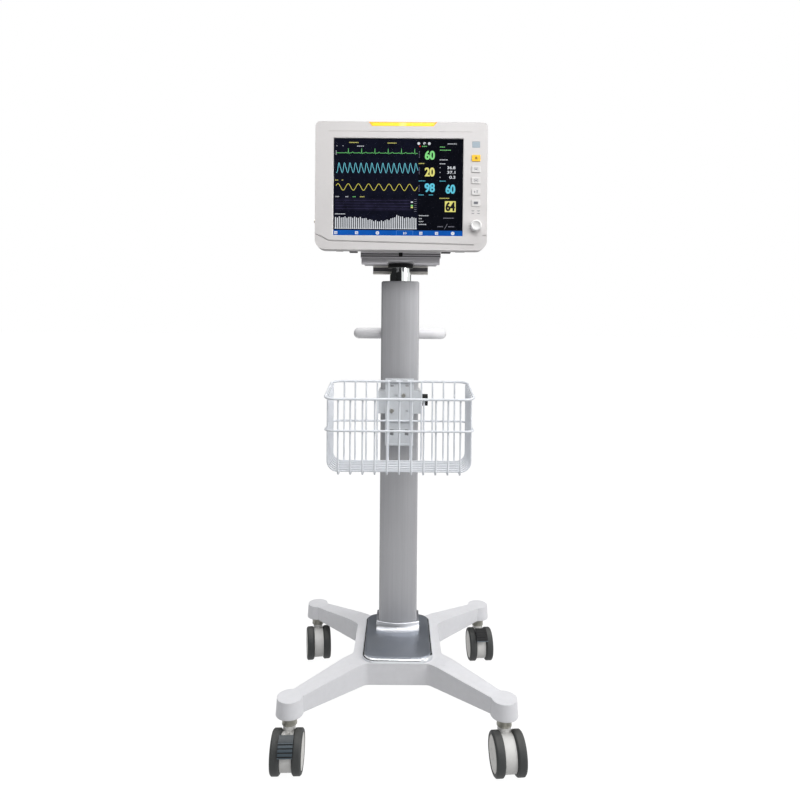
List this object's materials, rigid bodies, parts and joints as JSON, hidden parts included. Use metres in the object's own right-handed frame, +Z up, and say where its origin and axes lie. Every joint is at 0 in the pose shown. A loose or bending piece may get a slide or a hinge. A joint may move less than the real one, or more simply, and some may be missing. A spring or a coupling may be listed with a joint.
{
  "type": "patient monitor",
  "caption": "Bedside patient monitor with keys and rotary knob, on a rolling stand with column, push handle, wire basket and a four-legged base with twin-wheel casters.",
  "frame": {"origin": "on the floor under the middle of the whole part's footprint", "axes": "+X to the right seen from the screen's side, +Y to the rear, away from the viewer, +Z up"},
  "size_m": [0.5262, 0.5597, 1.4075],
  "materials": {
    "powder_coat": "pale grey powder coat on cast aluminium",
    "cover_metal": "dark blue-grey metallic lacquer",
    "steel": "zinc plated",
    "brushed_aluminium": "anodised extrusion with fine lines along it",
    "black_plastic": "moulded black",
    "chrome": "polished chrome",
    "grey_paint": "pale grey paint",
    "white_coat": "white dip coat",
    "housing_plastic": "moulded warm grey nylon",
    "wheel_plastic": "moulded pale grey",
    "tyre": "dark grey thermoplastic tread",
    "pedal_plastic": "moulded dark blue-grey",
    "bezel_plastic": "fine moulded texture",
    "window": "clear hard-coated window over a lit picture",
    "panel": "display module",
    "lens": "tinted light pipe",
    "rubber": "moulded rubber",
    "socket_plastic": "keyed sockets",
    "nickel": "nickel plated",
    "brass": "turned",
    "board": "green solder mask",
    "psu_metal": "folded sheet",
    "battery": "shrink sleeve",
    "pump": "moulded",
    "yellow_key": "moulded yellow",
    "white_key": "moulded white",
    "knob_plastic": "moulded pale grey"
  },
  "bodies": {
    "root": {"base_frame": "powder_coat", "base_cover": "cover_metal", "caster_stems": "steel", "column": "brushed_aluminium", "column_cap": "black_plastic", "column_screws": "steel", "post": "chrome", "push_handle": "grey_paint", "handle_clamp": "grey_paint", "basket_hoops": "white_coat", "basket_long_wires": "white_coat", "basket_cross_wires": "white_coat", "basket_bracket": "white_coat", "basket_clamp": "white_coat"},
    "clamp_knob": {"clamp_knob": "black_plastic"},
    "swivel_fl": {"housing_fl": "housing_plastic"},
    "wheels_fl": {"axle_fl": "steel", "wheels_fl": "wheel_plastic", "tyres_fl": "tyre"},
    "pedal_fl": {"pedal_fl": "pedal_plastic"},
    "swivel_fr": {"housing_fr": "housing_plastic"},
    "wheels_fr": {"axle_fr": "steel", "wheels_fr": "wheel_plastic", "tyres_fr": "tyre"},
    "swivel_rl": {"housing_rl": "housing_plastic"},
    "wheels_rl": {"axle_rl": "steel", "wheels_rl": "wheel_plastic", "tyres_rl": "tyre"},
    "swivel_rr": {"housing_rr": "housing_plastic"},
    "wheels_rr": {"axle_rr": "steel", "wheels_rr": "wheel_plastic", "tyres_rr": "tyre"},
    "pedal_rr": {"pedal_rr": "pedal_plastic"},
    "head": {"head_block": "brushed_aluminium", "post_bush": "black_plastic", "head_rail": "brushed_aluminium", "slide_plate": "brushed_aluminium", "monitor_screws": "steel", "front_bezel": "bezel_plastic", "rear_cover": "bezel_plastic", "screen_window": "window", "display_panel": "panel", "alarm_lens": "lens", "rubber_feet": "rubber", "sensor_sockets": "socket_plastic", "pressure_port": "nickel", "power_inlet": "black_plastic", "earth_stud": "brass", "main_board": "board", "power_supply": "psu_metal", "battery_pack": "battery", "pressure_pump": "pump", "key_board": "board"},
    "release_button": {"release_button": "black_plastic"},
    "alarm_key": {"alarm_key": "yellow_key"},
    "key_1": {"key_1": "white_key"},
    "key_2": {"key_2": "white_key"},
    "key_3": {"key_3": "white_key"},
    "key_4": {"key_4": "white_key"},
    "knob": {"knob": "knob_plastic"}
  },
  "joints": [
    {"name": "swivel_fl", "type": "hinge", "parent": "root", "child": "swivel_fl", "pos_m": [-0.2275, -0.2005, 0.095], "axis": [0, 0, 1], "continuous": true},
    {"name": "wheel_spin_fl", "type": "hinge", "parent": "swivel_fl", "child": "wheels_fl", "pos_m": [-0.22649, -0.22948, 0.0425], "axis": [0.9994, 0.0349, 0], "continuous": true},
    {"name": "brake_pedal_fl", "type": "hinge", "parent": "swivel_fl", "child": "pedal_fl", "pos_m": [-0.22637, -0.23272, 0.07333], "axis": [0.9994, 0.0349, 0], "range_deg": [-18, 0]},
    {"name": "swivel_fr", "type": "hinge", "parent": "root", "child": "swivel_fr", "pos_m": [0.2275, -0.2005, 0.095], "axis": [0, 0, 1], "continuous": true},
    {"name": "wheel_spin_fr", "type": "hinge", "parent": "swivel_fr", "child": "wheels_fr", "pos_m": [0.23003, -0.22939, 0.0425], "axis": [0.9962, 0.0872, 0], "continuous": true},
    {"name": "swivel_rl", "type": "hinge", "parent": "root", "child": "swivel_rl", "pos_m": [-0.2275, 0.2545, 0.095], "axis": [0, 0, 1], "continuous": true},
    {"name": "wheel_spin_rl", "type": "hinge", "parent": "swivel_rl", "child": "wheels_rl", "pos_m": [-0.22197, 0.22603, 0.0425], "axis": [0.9816, 0.1908, 0], "continuous": true},
    {"name": "swivel_rr", "type": "hinge", "parent": "root", "child": "swivel_rr", "pos_m": [0.2275, 0.2545, 0.095], "axis": [0, 0, 1], "continuous": true},
    {"name": "wheel_spin_rr", "type": "hinge", "parent": "swivel_rr", "child": "wheels_rr", "pos_m": [0.22952, 0.22557, 0.0425], "axis": [0.9976, 0.0698, 0], "continuous": true},
    {"name": "brake_pedal_rr", "type": "hinge", "parent": "swivel_rr", "child": "pedal_rr", "pos_m": [0.22975, 0.22234, 0.07333], "axis": [0.9976, 0.0698, 0], "range_deg": [0, 18]},
    {"name": "clamp_knob_turn", "type": "hinge", "parent": "root", "child": "clamp_knob", "pos_m": [0.06, 0.0815, 0.7415], "axis": [1, 0, 0], "range_deg": [0, 360]},
    {"name": "head_swivel", "type": "hinge", "parent": "root", "child": "head", "pos_m": [0, 0.0815, 1.0825], "axis": [0, 0, 1], "range_deg": [-90, 90]},
    {"name": "release_press", "type": "slide", "parent": "head", "child": "release_button", "axis": [0, 1, 0], "range_m": [0, 0.003], "stiffness_N_per_m": 800},
    {"name": "alarm_key_press", "type": "slide", "parent": "head", "child": "alarm_key", "axis": [0, 1, 0], "range_m": [0, 0.0012], "stiffness_N_per_m": 500},
    {"name": "key_1_press", "type": "slide", "parent": "head", "child": "key_1", "axis": [0, 1, 0], "range_m": [0, 0.0012], "stiffness_N_per_m": 500},
    {"name": "key_2_press", "type": "slide", "parent": "head", "child": "key_2", "axis": [0, 1, 0], "range_m": [0, 0.0012], "stiffness_N_per_m": 500},
    {"name": "key_3_press", "type": "slide", "parent": "head", "child": "key_3", "axis": [0, 1, 0], "range_m": [0, 0.0012], "stiffness_N_per_m": 500},
    {"name": "key_4_press", "type": "slide", "parent": "head", "child": "key_4", "axis": [0, 1, 0], "range_m": [0, 0.0012], "stiffness_N_per_m": 500},
    {"name": "knob_turn", "type": "hinge", "parent": "head", "child": "knob", "pos_m": [0.175, -0.059, 1.1645], "axis": [0, 1, 0], "continuous": true}
  ]
}
